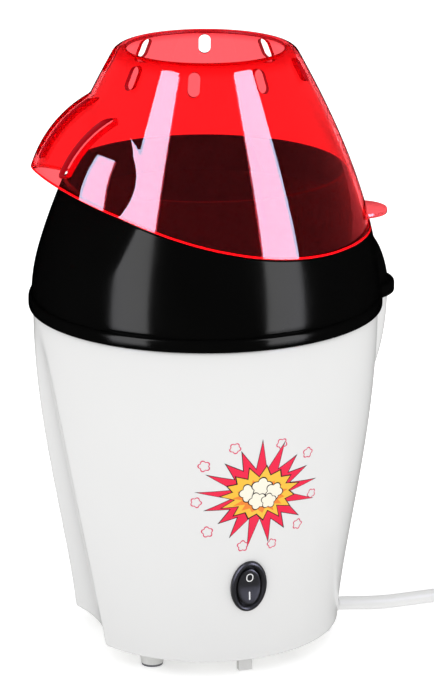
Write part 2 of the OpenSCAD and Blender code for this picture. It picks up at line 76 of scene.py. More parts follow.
CAMERA_TURN = math.radians(-17)
CAMERA_PITCH = 0.2978
CAMERA_AWAY = 1.622
CAMERA_HEIGHT = 0.6472
CAMERA_LENS = 173.7
CAMERA_SENSOR = 36
CAMERA_SHIFT = 0.0165


def add_camera():
    """Looks at the axis from the front, a little from the spout's side and from above."""
    data = bpy.data.cameras.new("camera")
    data.lens = CAMERA_LENS
    data.sensor_width = CAMERA_SENSOR
    data.shift_x = CAMERA_SHIFT
    camera = bpy.data.objects.new("camera", data)
    camera.location = (
        AXIS + CAMERA_AWAY * math.sin(CAMERA_TURN),
        -CAMERA_AWAY * math.cos(CAMERA_TURN),
        CAMERA_HEIGHT + TABLE,
    )
    camera.rotation_euler = (math.pi / 2 - CAMERA_PITCH, 0, CAMERA_TURN)
    bpy.context.collection.objects.link(camera)
    bpy.context.scene.camera = camera


add_camera()

# ---------------------------------------------------------------- materials


def new_material(name):
    """A node material with its nodes, links and main shader."""
    material = bpy.data.materials.new(name)
    material.use_nodes = True
    nodes = material.node_tree.nodes
    return material, nodes, material.node_tree.links, nodes["Principled BSDF"]


def noise(nodes, links, scale, detail=3.0, stretch=(1, 1, 1)):
    """Noise in object space; scale is per metre."""
    where = nodes.new("ShaderNodeTexCoord")
    mapping = nodes.new("ShaderNodeMapping")
    mapping.inputs["Scale"].default_value = stretch
    texture = nodes.new("ShaderNodeTexNoise")
    texture.inputs["Scale"].default_value = scale
    texture.inputs["Detail"].default_value = detail
    links.new(where.outputs["Object"], mapping.inputs["Vector"])
    links.new(mapping.outputs["Vector"], texture.inputs["Vector"])
    return texture.outputs["Fac"]


def spread(nodes, links, factor, low, high, low_at=0.3, high_at=0.7):
    """Maps a value onto a range."""
    ranged = nodes.new("ShaderNodeMapRange")
    ranged.inputs["From Min"].default_value = low_at
    ranged.inputs["From Max"].default_value = high_at
    ranged.inputs["To Min"].default_value = low
    ranged.inputs["To Max"].default_value = high
    links.new(factor, ranged.inputs["Value"])
    return ranged.outputs["Result"]


def tint(nodes, links, factor, dark, light):
    """Blends two colours by a factor; each is a colour or another node's output."""
    mix = nodes.new("ShaderNodeMix")
    mix.data_type = "RGBA"
    for side, colour in (("A", dark), ("B", light)):
        if isinstance(colour, tuple):
            mix.inputs[side].default_value = (*colour, 1)
        else:
            links.new(colour, mix.inputs[side])
    links.new(factor, mix.inputs["Factor"])
    return mix.outputs["Result"]


def bump(nodes, links, shader, height, strength, distance):
    """Fine relief on a shader's surface, its depth in metres."""
    relief = nodes.new("ShaderNodeBump")
    relief.inputs["Strength"].default_value = strength
    relief.inputs["Distance"].default_value = distance
    links.new(height, relief.inputs["Height"])
    links.new(relief.outputs["Normal"], shader.inputs["Normal"])


def plastic(name, dark, light, rough, grain=900.0, relief=0.05, ior=1.5):
    """Moulded plastic: slight colour and gloss variation over a fine mould grain."""
    material, nodes, links, shader = new_material(name)
    cloud = noise(nodes, links, 14.0)
    links.new(tint(nodes, links, cloud, dark, light), shader.inputs["Base Color"])
    smears = noise(nodes, links, 55.0, 5.0, (1, 1, 0.4))
    links.new(spread(nodes, links, smears, *rough), shader.inputs["Roughness"])
    fine = noise(nodes, links, grain, 4.0)
    bump(nodes, links, shader, fine, relief, 0.0004)
    shader.inputs["IOR"].default_value = ior
    return material


def metal(name, dark, light, rough, scale=400.0, stretch=(1, 1, 8), relief=0.08):
    """Drawn or plated metal with fine lines and soft stains."""
    material, nodes, links, shader = new_material(name)
    shader.inputs["Metallic"].default_value = 1
    lines = noise(nodes, links, scale, 4.0, stretch)
    stains = noise(nodes, links, 30.0)
    links.new(tint(nodes, links, stains, dark, light), shader.inputs["Base Color"])
    links.new(spread(nodes, links, lines, *rough), shader.inputs["Roughness"])
    bump(nodes, links, shader, lines, relief, 0.0003)
    return material


# Heights over which the painted darker red fades in at the rim.
PAINTED_DEEPENING_AT = (0.2985, 0.3035)


def clear_red():
    """Transparent tinted polycarbonate, with a painted deeper red where the rim curls over,
    standing in for light's longer path through the curled wall.
    """
    material, nodes, links, shader = new_material("red_clear")
    flow = noise(nodes, links, 9.0, 2.0, (1, 1, 0.5))
    red = tint(nodes, links, flow, (0.975, 0.085, 0.1), (0.99, 0.11, 0.125))
    where = nodes.new("ShaderNodeTexCoord")
    axes = nodes.new("ShaderNodeSeparateXYZ")
    links.new(where.outputs["Object"], axes.inputs["Vector"])
    # Painted shade: the base colour turns a darker red over the curled rim, in place of the deeper
    # tint light would pick up there.
    painted_deepening = spread(nodes, links, axes.outputs["Z"], 0.0, 0.8, *PAINTED_DEEPENING_AT)
    red_with_painted_deepening = tint(nodes, links, painted_deepening, red, (0.7, 0.01, 0.02))
    links.new(red_with_painted_deepening, shader.inputs["Base Color"])
    haze = noise(nodes, links, 40.0, 4.0)
    links.new(spread(nodes, links, haze, 0.0, 0.03), shader.inputs["Roughness"])
    shader.inputs["Transmission Weight"].default_value = 1
    shader.inputs["IOR"].default_value = 1.03
    shader.inputs["Coat Weight"].default_value = 1
    shader.inputs["Coat IOR"].default_value = 1.5
    shader.inputs["Coat Roughness"].default_value = 0.01
    bump(nodes, links, shader, noise(nodes, links, 120.0), 0.02, 0.0003)
    return material


def edge_red(name, dark, light, painted_glow):
    """Cut edge of the tinted lid, frosted, with a painted glow in place of the light it gathers
    along its length.
    """
    material = plastic(name, dark, light, (0.3, 0.45), 900.0, 0.03, 1.2)
    shader = material.node_tree.nodes["Principled BSDF"]
    # Painted glow: the edge emits red light though it is no lamp.
    shader.inputs["Emission Color"].default_value = (1, 0.01, 0.02, 1)
    shader.inputs["Emission Strength"].default_value = painted_glow
    return material


LOW_IOR = 1.17


def black_gloss():
    """Polished black plastic, which mirrors the softboxes faintly and without their tint."""
    dark, light = (0.0015, 0.0015, 0.0015), (0.003, 0.003, 0.003)
    material = plastic("black_gloss", dark, light, (0.1, 0.17), 600.0, 0.02, LOW_IOR)
    shader = material.node_tree.nodes["Principled BSDF"]
    shader.inputs["Specular Tint"].default_value = (1, 1, 0.72, 1)
    return material


def flat_print(name, dark, light):
    """Printed ink: slightly uneven, satin."""
    return plastic(name, dark, light, (0.28, 0.4), 1500.0, 0.04)


MATERIALS = {
    # Painted glow: the lid's lower edge shines bright red by its own emission.
    "lower_edge_red": edge_red("lower_edge_red", (0.95, 0.012, 0.02), (0.98, 0.02, 0.03), 0.25),
    # Painted shade: the walls of the slots and vents and the lip are a dark red, with a faint
    # painted glow.
    "hole_edge_red": edge_red("hole_edge_red", (0.42, 0.002, 0.008), (0.5, 0.004, 0.012), 0.03),
    "white_plastic": plastic(
        "white_plastic", (0.73, 0.73, 0.726), (0.76, 0.76, 0.756), (0.14, 0.22),
        700.0, 0.03, LOW_IOR,
    ),
    "white_inner": plastic("white_inner", (0.62, 0.62, 0.6), (0.68, 0.68, 0.66), (0.4, 0.55)),
    "black_gloss": black_gloss(),
    "red_clear": clear_red(),
    "black_matte": plastic("black_matte", (0.02, 0.02, 0.021), (0.03, 0.03, 0.032), (0.45, 0.6)),
    "rocker_black": plastic(
        "rocker_black", (0.014, 0.014, 0.014), (0.022, 0.022, 0.022), (0.34, 0.46), 1400.0, 0.12
    ),
    "grey_rubber": plastic(
        "grey_rubber", (0.1, 0.1, 0.105), (0.16, 0.16, 0.165), (0.6, 0.8), 1800.0, 0.3
    ),
    "aluminium": metal("aluminium", (0.74, 0.74, 0.75), (0.84, 0.84, 0.85), (0.22, 0.4)),
    "steel": metal("steel", (0.5, 0.5, 0.51), (0.64, 0.64, 0.65), (0.25, 0.42)),
    "mica": plastic("mica", (0.5, 0.4, 0.25), (0.68, 0.58, 0.42), (0.3, 0.5), 300.0, 0.3),
    "heater_wire": metal("heater_wire", (0.16, 0.14, 0.13), (0.34, 0.3, 0.27), (0.4, 0.6)),
    "ceramic": plastic("ceramic", (0.68, 0.65, 0.58), (0.78, 0.75, 0.68), (0.5, 0.7)),
    "copper": metal("copper", (0.6, 0.26, 0.14), (0.8, 0.4, 0.24), (0.25, 0.4), 900.0, (1, 1, 1)),
    "bronze": metal("bronze", (0.45, 0.3, 0.15), (0.6, 0.42, 0.22), (0.4, 0.6)),
    "brass": metal("brass", (0.7, 0.52, 0.26), (0.84, 0.66, 0.36), (0.2, 0.35)),
    "magnet": plastic("magnet", (0.05, 0.05, 0.055), (0.1, 0.1, 0.11), (0.5, 0.7)),
    "board_green": plastic("board_green", (0.05, 0.22, 0.11), (0.09, 0.32, 0.17), (0.25, 0.4)),
    "wire_brown": plastic("wire_brown", (0.14, 0.05, 0.02), (0.2, 0.08, 0.035), (0.35, 0.5)),
    "cord_white": plastic(
        "cord_white", (0.8, 0.8, 0.795), (0.85, 0.85, 0.845), (0.3, 0.42), 1100.0, 0.08, 1.25
    ),
}

SLOT_OF = {part["node"]: part["material_slot"] for part in frame["record"]["subparts"]}

for node, cad in frame["nodes"].items():
    for i in range(len(cad.material_slots)):
        cad.material_slots[i].material = MATERIALS[SLOT_OF[node]]

# ---------------------------------------------------------------- mesh helpers

TURN_STEPS = 360
TURNS = [2 * math.pi * i / TURN_STEPS for i in range(TURN_STEPS)]
SPOUT = math.pi


def new_piece(name, vertices, faces, material, smooth_angle=35):
    """A mesh object from points around the axis, in millimetres."""
    mesh = bpy.data.meshes.new(name)
    mesh.from_pydata([place(*v) for v in vertices], [], faces)
    piece = bpy.data.objects.new(name, mesh)
    bpy.context.collection.objects.link(piece)
    mesh.materials.append(material)
    tidy_mesh(piece, smooth_angle)
    return piece


def tidy_mesh(piece, smooth_angle=35):
    """Welds doubles, turns every face outwards and keeps only true corners sharp."""
    work = bmesh.new()
    work.from_mesh(piece.data)
    bmesh.ops.remove_doubles(work, verts=work.verts, dist=1e-6)
    bmesh.ops.recalc_face_normals(work, faces=work.faces)
    work.to_mesh(piece.data)
    work.free()
    for face in piece.data.polygons:
        face.use_smooth = True
    piece.data.set_sharp_from_angle(angle=math.radians(smooth_angle))


def spin_sections(name, section, material, smooth_angle=35):
    """A closed ring: section(turn) gives one closed outline of (radius, height) points."""
    outlines = [section(turn) for turn in TURNS]
    count = len(outlines[0])
    vertices = [
        (r * math.cos(turn), r * math.sin(turn), z)
        for turn, outline in zip(TURNS, outlines)
        for r, z in outline
    ]
    faces = []
    for i in range(TURN_STEPS):
        j = (i + 1) % TURN_STEPS
        for k in range(count):
            m = (k + 1) % count
            faces.append((i * count + k, j * count + k, j * count + m, i * count + m))
    return new_piece(name, vertices, faces, material, smooth_angle)


def cut(piece, cutters, smooth_angle=35):
    """Cuts closed meshes out of a piece and drops them."""
    bpy.context.view_layer.update()
    for cutter in cutters:
        step = piece.modifiers.new("cut", "BOOLEAN")
        step.operation = "DIFFERENCE"
        step.object = cutter
        step.solver = "EXACT"
        step.material_mode = "TRANSFER"
    settled = bpy.data.meshes.new_from_object(
        piece.evaluated_get(bpy.context.evaluated_depsgraph_get())
    )
    piece.modifiers.clear()
    piece.data = settled
    for cutter in cutters:
        bpy.data.objects.remove(cutter)
    tidy_mesh(piece, smooth_angle)


def stadium(width, height, count=48):
    """Outline with round ends, width across and height along, about the origin."""
    points = []
    for i in range(count):
        a = 2 * math.pi * (i + 0.5) / count
        lift = (height - width) / 2 * (1 if math.sin(a) > 0 else -1)
        points.append((width / 2 * math.cos(a), width / 2 * math.sin(a) + lift))
    return points


def oval(width, height, count=64):
    """Ellipse outline, width across and height along, about the origin."""
    turns = [2 * math.pi * (i + 0.5) / count for i in range(count)]
    return [(width / 2 * math.cos(a), height / 2 * math.sin(a)) for a in turns]


def stack(name, rings, material, to_axis, caps=True, smooth_angle=35):
    """A piece skinned over equal rings of points; to_axis turns each into axis millimetres."""
    count = len(rings[0])
    vertices = [to_axis(p) for ring in rings for p in ring]
    faces = []
    for i in range(len(rings) - 1):
        for k in range(count):
            m = (k + 1) % count
            faces.append((i * count + k, i * count + m, (i + 1) * count + m, (i + 1) * count + k))
    if caps:
        faces.append(tuple(range(count)))
        faces.append(tuple((len(rings) - 1) * count + k for k in range(count)))
    return new_piece(name, vertices, faces, material, smooth_angle)


# ---------------------------------------------------------------- body curves


def bezier(a, b, c, d, t):
    """Cubic Bezier value at t."""
    s = 1 - t
    return a * s**3 + 3 * b * t * s**2 + 3 * c * t**2 * s + d * t**3


class Profile:
    """Radius of a Bezier half section at any height."""

    def __init__(self, *points):
        t = np.linspace(0, 1, 240)
        self.r = bezier(*[p[0] for p in points], t)
        self.z = bezier(*[p[1] for p in points], t)

    def __call__(self, z):
        return float(np.interp(z, self.z, self.r))


RIM_Z = 174.2
BASE_Z = 8.0
LOBE_FOOT = 116
HOUSING = Profile((67.6, BASE_Z), (69.6, 50), (86, 105), (86.2, RIM_Z))
LOBE = Profile((0, LOBE_FOOT), (7, 118), (18.2, 140), (18.4, RIM_Z))
DOME = Profile((87, 184), (85, 218), (70.7, 257.1), (46, 301.6))
FACE = Profile((102.8, 182), (102.4, 196), (94.2, 218), (88.2, 233))
LOBE_TOP = Profile((19.2, 174.5), (18.4, 190), (13.4, 207), (0, 210))
LOBE_X = 77.0


def smooth_max(a, b, k):
    """The larger value, blended over a difference of k."""
    h = max(k - abs(a - b), 0) / k
    return max(a, b) + h * h * k / 4


def smooth_min(a, b, k):
    return -smooth_max(-a, -b, k)


def ease(x):
    """Soft step from 0 to 1."""
    x = min(max(x, 0), 1)
    return x * x * (3 - 2 * x)


def reach_circle(turn, centre, r):
    """How far from the axis a ray leaves a circle centred on +X, or 0 if it misses."""
    miss = centre * math.sin(turn)
    if r <= abs(miss) or math.cos(turn) < 0:
        return 0.0
    return centre * math.cos(turn) + math.sqrt(r * r - miss * miss)


SEAM_LOW = 213.9
SEAM_BENDS_AT = 50
SEAM_BEND = 297
SEAM_GUESS = 225.0


def seam(x):
    """Height of the seam between cover and lid at x: level, then an arc up to the spout."""
    if x >= SEAM_BENDS_AT:
        return SEAM_LOW
    return SEAM_LOW + SEAM_BEND - math.sqrt(SEAM_BEND**2 - (SEAM_BENDS_AT - x) ** 2)


def seam_on(radius, turn, lift=0.0):
    """Height at which the seam meets a surface radius(turn, z)."""
    z = SEAM_GUESS
    for _ in range(30):
        z = seam(radius(turn, z) * math.cos(turn)) + lift
    return z


# ---------------------------------------------------------------- lid

HOOD_X = -29.2
HOOD_Z = 229.0
HOOD_RX = 61.0
HOOD_RY = 57.0
LID_WALL = 2.5
SHOULDER = (40.3, 298.5)
SHOULDER_R = 6.5
SHOULDER_LEAN = math.radians(29)
LID_ROWS = 96
LID_SEAM_GAP = 0.25
LID_FOOT_EDGE = 0.45
SHOULDER_STEPS = 12
HOOD_SLOT = (4.2, 28)
HOOD_SLOTS = ((-24.5, 263.8), (0, 268.5), (24.5, 263.8))
VENT = (6, 11)
VENT_Z = 296
VENT_TURNS = [math.radians(26.5 + 40 * i) for i in range(4)]


def reach_hood(turn, z, inset):
    """How far from the axis a level ray leaves the egg-shaped hood."""
    a, b = HOOD_RX - inset, HOOD_RY - inset
    qa = (math.cos(turn) / a) ** 2 + (math.sin(turn) / b) ** 2
    qb = -2 * HOOD_X * math.cos(turn) / a**2
    qc = (HOOD_X**2 + (z - HOOD_Z) ** 2) / a**2 - 1
    root = qb * qb - 4 * qa * qc
    if root < 0:
        return 0.0
    return (-qb + math.sqrt(root)) / (2 * qa)


def lid_radius(turn, z, inset=0.0):
    """Outside of the lid, dome and hood together, or a wall's depth inside it."""
    return smooth_max(DOME(z) - inset, reach_hood(turn, z, inset), 1.6)


def lid_section(turn):
    """Closed outline of the lid's wall: up the outside, over the lip, down the inside."""

    def inside(t, height):
        return lid_radius(t, height, LID_WALL)

    low_out = seam_on(lid_radius, turn, LID_SEAM_GAP)
    low_in = seam_on(inside, turn, LID_SEAM_GAP)
    high = SHOULDER[1] + SHOULDER_R * math.sin(SHOULDER_LEAN)
    inner = SHOULDER_R - LID_WALL * math.cos(SHOULDER_LEAN)
    high_in = SHOULDER[1] + inner * math.sin(SHOULDER_LEAN)

    def shoulder(r, i):
        a = SHOULDER_LEAN + (math.pi / 2 - SHOULDER_LEAN) * i / SHOULDER_STEPS
        return (SHOULDER[0] + r * math.cos(a), SHOULDER[1] + r * math.sin(a))

    points = [(lid_radius(turn, low_out) - 0.5, low_out)]
    start = low_out + LID_FOOT_EDGE
    for i in range(LID_ROWS + 1):
        z = start + (high - start) * i / LID_ROWS
        points.append((lid_radius(turn, z), z))
    points += [shoulder(SHOULDER_R, i) for i in range(1, SHOULDER_STEPS + 1)]
    points += [(39.4, 304.8), (38.9, 304.4), (38.72, 303.9), (38.9, 303.3), (39.4, 302.95)]
    points += [shoulder(inner, i) for i in range(SHOULDER_STEPS, 0, -1)]
    start = low_in + LID_FOOT_EDGE
    for i in range(LID_ROWS, -1, -1):
        z = start + (high_in - start) * i / LID_ROWS
        points.append((inside(turn, z), z))
    points.append((inside(turn, low_in) + 0.5, low_in))
    return points


def hole_cutter(name, outline, start, end, to_axis, material):
    """Prism that cuts one hole; outline runs across it, material goes on the hole's wall."""
    rings = [[(depth, a, b) for a, b in outline] for depth in (start, end)]
    return stack(name, rings, material, to_axis)


def build_lid():
    """The lid's shell with its hood slots and vents."""
    lid = spin_sections("lid_shell", lid_section, MATERIALS["red_clear"])
    # Painted shade: the holes' walls get the dark red edge material.
    wall = MATERIALS["hole_edge_red"]
    cutters = []
    for y, z in HOOD_SLOTS:

        def hood_slot(p, y=y, z=z):
            return (p[0], y + p[1], z + p[2])

        outline = stadium(*HOOD_SLOT, 24)
        cutters.append(hole_cutter("slot", outline, -100, -52, hood_slot, wall))
    for side in (-1, 1):
        for away in VENT_TURNS:

            def top_vent(p, turn=SPOUT + side * away):
                x, y = math.cos(turn), math.sin(turn)
                return (p[0] * x - p[1] * y, p[0] * y + p[1] * x, VENT_Z + p[2])

            cutters.append(hole_cutter("vent", stadium(*VENT, 24), 42.5, 62, top_vent, wall))
    cut(lid, cutters)
    return lid


def build_lid_edge():
    """The lid's lower edge, bright red with a painted glow in place of the light it gathers along
    its whole length.
    """

    def section(turn):
        low = seam_on(lid_radius, turn, 0.3)
        r = lid_radius(turn, low + 0.5)
        return [(r - 0.6, low), (r - 0.15, low + 0.1), (r - 0.1, low + 0.9), (r - 0.6, low + 1.0)]

    return spin_sections("lid_lower_edge", section, MATERIALS["lower_edge_red"])


def build_lid_lip():
    """The rounded lip round the lid's opening, with a painted deeper red than the walls and a faint
    painted glow.
    """
    outline = [(39.4, 304.7), (38.8, 304.4), (38.6, 303.9), (38.8, 303.4), (39.4, 303.1)]
    return spin_sections("lid_lip", lambda turn: outline, MATERIALS["hole_edge_red"])


TAB_R = 15.0
TAB_X = 80.0
TAB_Z = 214.9
TAB_T = 2.6


def build_tab():
    """Half-round thumb tab on the back of the lid, its inner end inside the lid's wall."""
    start = DOME(TAB_Z + TAB_T) - 1.2
    half = 12

    def outline(inset):
        r = TAB_R - inset
        ends = math.acos((start - TAB_X) / r)
        return [
            (TAB_X + r * math.cos(a), r * math.sin(a))
            for a in (-ends + 2 * ends * i / (2 * half) for i in range(2 * half + 1))
        ]

    rings = []
    for inset, z in (
        (0.7, TAB_Z), (0.15, TAB_Z + 0.2), (0, TAB_Z + 0.8), (0, TAB_Z + TAB_T - 0.7),
        (0.2, TAB_Z + TAB_T - 0.2), (0.8, TAB_Z + TAB_T),
    ):
        rings.append([(x, y, z) for x, y in outline(inset)])
    return stack("lid_thumb_tab", rings, MATERIALS["red_clear"], lambda p: p)


lid = build_lid()
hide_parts("lid")
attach(lid, "lid")
lid_edge = build_lid_edge()
lid_lip = build_lid_lip()
tab = build_tab()
for piece in (lid_edge, lid_lip, tab):
    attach(piece, "lid")

# ---------------------------------------------------------------- chute cover

RING_Z = 174.5
RING_R = 88.5
LOBE_RING_R = 22.0
COLLAR_TOP = 244.0
COLLAR_OUT = LID_WALL + 0.7
COLLAR_IN = COLLAR_OUT + 2.2
SILL_ANGLE = math.radians(40)
FACE_X = 16.2
FACE_TOP = 233
FACE_SLOPE = 0.42
COVER_ROWS = 46
COVER_SEAM_GAP = -0.2
COVER_WALL = 2.5
LOBE_TOP_END = 210
NECK_R = 41.4
NECK_OUT_R = 44
FUNNEL_TOP = 224
FUNNEL_STEPS = 24
UNDER_STEPS = 16
UNDER_TOP = 219


def reach_face(turn, z):
    """How far from the axis a level ray leaves the curve that flattens the chute's face."""
    r = FACE(z) - FACE_SLOPE * max(z - FACE_TOP, 0)
    miss = FACE_X * math.sin(turn)
    return FACE_X * math.cos(turn) + math.sqrt(r * r - miss * miss)


def cover_radius(turn, z, inset=0.0):
    """Outside of the cover, dome, chute face and lobe together, or some depth inside it."""
    dome = smooth_min(DOME(z) - inset, reach_face(turn, z) - inset, 0.8)
    lobe = reach_circle(turn, LOBE_X, LOBE_TOP(z) - inset) if z < LOBE_TOP_END else 0.0
    return smooth_max(dome, lobe, 1.5)


def ring_radius(turn, inset):
    """Outline of the ring round the bottom of the cover."""
    lobe = reach_circle(turn, LOBE_X, LOBE_RING_R - inset)
    return smooth_max(RING_R - inset, lobe, 2.5)


def sill_share(turn):
    """1 where the collar stands at full height, 0 in the gap towards the spout."""
    away = abs((turn - SPOUT + math.pi) % (2 * math.pi) - math.pi)
    return ease((away - SILL_ANGLE) / math.radians(3) + 0.5)


def cover_section(turn):
    """Closed outline of the cover: ring, dome, edge, collar, funnel, neck and underside."""
    points = [(ring_radius(turn, 2.6), RING_Z), (ring_radius(turn, 0.7), RING_Z)]
    for inset, rise in (
        (0.25, 0.3), (0.03, 0.9), (0, 1.8), (0, 3.6), (0.05, 4.8), (0.3, 5.6), (0.75, 6.2),
        (1.2, 6.42), (1.5, 6.45),
    ):
        points.append((ring_radius(turn, inset), RING_Z + rise))
    groove = RING_Z + 6.1
    points.append((cover_radius(turn, groove + 0.9) - 0.3, groove))
    top = seam_on(cover_radius, turn, COVER_SEAM_GAP)
    for i in range(COVER_ROWS + 1):
        z = groove + 1 + (top - 0.35 - groove - 1) * i / COVER_ROWS
        points.append((cover_radius(turn, z), z))
    points.append((cover_radius(turn, top) - 0.35, top))

    def collar_out(t, z):
        return min(DOME(z) - COLLAR_OUT, reach_face(t, z) - 0.6)

    foot = seam_on(collar_out, turn, COVER_SEAM_GAP)
    share = sill_share(turn)
    height = foot + (COLLAR_TOP - foot) * share
    bottom = foot - 0.1
    for i in range(11):
        z = bottom + (height - 0.5 - bottom) * i / 10
        points.append((collar_out(turn, z), z))
    inner_top = min(DOME(height) - COLLAR_IN, reach_face(turn, height) - 2.8)
    points.append((collar_out(turn, height) - 0.5, height))
    points.append((inner_top + 0.5, height))
    for i in range(10, -1, -1):
        z = FUNNEL_TOP + (height - 0.5 - FUNNEL_TOP) * i / 10
        points.append((min(DOME(z) - COLLAR_IN, reach_face(turn, z) - 2.8), z))
    last = points[-1]
    for i in range(1, FUNNEL_STEPS + 1):
        t = 1 - i / FUNNEL_STEPS
        r = bezier(NECK_R, 46, 66, last[0], t)
        z = bezier(184.6, 194.6, 207.6, last[1], t)
        points.append((r, z))
    points += [(NECK_R, 174), (41.9, 173.2), (43.4, 173.2), (NECK_OUT_R, 174), (NECK_OUT_R, 182)]
    for i in range(1, UNDER_STEPS + 1):
        t = i / UNDER_STEPS
        r = bezier(NECK_OUT_R, 48, 68, last[0] + 1.8, t)
        z = bezier(182, 191, 204, UNDER_TOP, t)
        points.append((r, z))
    below = min(top - 3.5, UNDER_TOP)
    for i in range(13):
        z = below + (RING_Z + 3 - below) * i / 12
        points.append((cover_radius(turn, z, COVER_WALL), z))
    points.append((ring_radius(turn, 4.2), RING_Z + 0.6))
    return points


cover = spin_sections("chute_cover_shell", cover_section, MATERIALS["black_gloss"])
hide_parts("chute_cover")
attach(cover, "cover")

# ---------------------------------------------------------------- housing

FLUTE_X = 56.1
FLUTE_LEAN = 0.19
FLUTE_R = 85.0
FLUTE_MISSED = 999.0
HOUSING_WALL = 2.6
HOUSING_ROWS = 120


def reach_flute(turn, z, grow):
    """How far from the axis a level ray meets the hollow flute under the spout."""
    r = FLUTE_R + grow
    centre = FLUTE_X + FLUTE_LEAN * (z - BASE_Z) + FLUTE_R
    miss = centre * math.sin(turn)
    if math.cos(turn) > -0.6 or abs(miss) >= r:
        return FLUTE_MISSED
    return -centre * math.cos(turn) - math.sqrt(r * r - miss * miss)


def housing_radius(turn, z, inset=0.0):
    """Outside of the housing, body, flute and lobe together, or some depth inside it."""
    body = smooth_min(HOUSING(z) - inset, reach_flute(turn, z, inset), 0.9)
    lobe = reach_circle(turn, LOBE_X, LOBE(z) - inset) if z > LOBE_FOOT else 0.0
    return smooth_max(body, lobe, 2.5)


def housing_section(turn):
    """Closed outline of the housing's wall with rounded edges."""
    points = []
    for inset, rise in ((1.3, 0), (0.6, 0.15), (0.18, 0.6)):
        z = BASE_Z + rise
        points.append((housing_radius(turn, z) - inset, z))
    for i in range(HOUSING_ROWS + 1):
        z = BASE_Z + 1.3 + (RIM_Z - 1 - BASE_Z - 1.3) * i / HOUSING_ROWS
        points.append((housing_radius(turn, z), z))
    for inset, drop in ((0.15, 0.45), (0.5, 0.1), (1.0, 0)):
        z = RIM_Z - drop
        points.append((housing_radius(turn, z) - inset, z))
    for i in range(HOUSING_ROWS, -1, -1):
        z = BASE_Z + (RIM_Z - BASE_Z) * i / HOUSING_ROWS
        points.append((housing_radius(turn, z, HOUSING_WALL), z))
    return points


SWITCH_Y = -72.4
SWITCH_Z = 49.5
SWITCH_LEAN = math.radians(9)


def on_switch(p):
    """From the switch's own frame (out, across, up) to millimetres around the axis."""
    out, across, up = p
    c, s = math.cos(SWITCH_LEAN), math.sin(SWITCH_LEAN)
    return (across, SWITCH_Y - out * c - up * s, SWITCH_Z - out * s + up * c)


CORD_HOLE_Z = 5


def cord_hole(p):
    """From the cord hole's own frame to millimetres around the axis."""
    return (p[0], p[1], CORD_HOLE_Z + p[2])


skin = MATERIALS["white_plastic"]
housing = spin_sections("housing_shell", housing_section, skin)
switch_cut = hole_cutter("switch_hole", stadium(15.6, 23), -12, 12, on_switch, skin)
cord_cut = hole_cutter("cord_hole", stadium(10.8, 10.9, 32), 55, 80, cord_hole, skin)
cut(housing, [switch_cut, cord_cut])
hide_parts("housing")
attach(housing, "base")

# ---------------------------------------------------------------- switch


BEZEL = (18.4, 27.9)
ROCKER = (11.8, 18.7)


def build_bezel():
    """Rounded oval frame of the switch and the well the rocker sits in."""
    profile = [
        (0.0, -1.1), (0.0, 0.7), (0.12, 1.2), (0.5, 1.75), (1.0, 2.05), (1.5, 2.12), (1.9, 1.95),
        (2.35, 1.5), (2.75, 0.8), (2.85, 0.2), (2.85, -7.4),
    ]
    rings = [
        [(out, a, b) for a, b in oval(BEZEL[0] - 2 * inset, BEZEL[1] - 2 * inset)]
        for inset, out in profile
    ]
    rings += [
        [(out, a, b) for a, b in oval(w, h)]
        for out, w, h in ((-7.6, 12, 19), (-7.6, 2, 9))
    ]
    return stack("switch_bezel_ring", rings, MATERIALS["rocker_black"], on_switch)


ROCKER_SWING = math.radians(16)


def on_rocker(p):
    """From the rocker's frame at rest, tilted to off, to millimetres around the axis."""
    out, across, up = p
    c, s = math.cos(-ROCKER_SWING / 2), math.sin(-ROCKER_SWING / 2)
    return on_switch((out * c + up * s, across, up * c - out * s))


def rocker_face(up):
    """How far out the rocker's face stands at a height: two shallow faces over the pivot."""
    return 1.55 + 1.0 * (math.sqrt(up * up + 1.5) - 1.22) / 9.4


def build_rocker():
    """The rocker's key: a round-edged oval with two shallow faces."""
    rings = [[(-4, 0.8 * a, 0.6 * b) for a, b in oval(11.5, 18.4)]]
    rings.append([(-1, a, b) for a, b in oval(*ROCKER)])
    for inset, drop in ((0, 0.6), (0.12, 0.25), (0.45, 0.05), (0.9, 0)):
        edge = oval(ROCKER[0] - 2 * inset, ROCKER[1] - 2 * inset)
        rings.append([(rocker_face(b) - drop, a, b) for a, b in edge])
    for share in (0.8, 0.65, 0.5, 0.35, 0.2, 0.05):
        rings.append([(rocker_face(b * share), a * share, b * share) for a, b in oval(10, 16.9)])
    return stack("switch_rocker_key", rings, MATERIALS["rocker_black"], on_rocker)


def rocker_mark(name, outline, inner, middle_up):
    """A thin white mark printed on the rocker, as a ring or a bar."""
    sunk, lift = -0.02, 0.03
    rings = []
    for ring, at in ((inner, sunk), (inner, lift), (outline, lift), (outline, sunk)):
        rings.append([(rocker_face(middle_up + b) + at, a, middle_up + b) for a, b in ring])
    return stack(name, rings, PRINT_WHITE, on_rocker, caps=False)


PRINT_WHITE = flat_print("print_white", (0.8, 0.8, 0.8), (0.88, 0.88, 0.88))

bezel = build_bezel()
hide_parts("switch_bezel")
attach(bezel, "base")
rocker = build_rocker()
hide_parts("switch_rocker")
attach(rocker, "rocker")
off_mark = rocker_mark("switch_mark_off", stadium(3.6, 4.4, 32), stadium(2.6, 3.4, 32), 4.9)
on_mark = rocker_mark("switch_mark_on", stadium(0.7, 4.2, 32), stadium(0.02, 3.4, 32), -4.6)
for mark in (off_mark, on_mark):
    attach(mark, "rocker")

# ---------------------------------------------------------------- printed burst

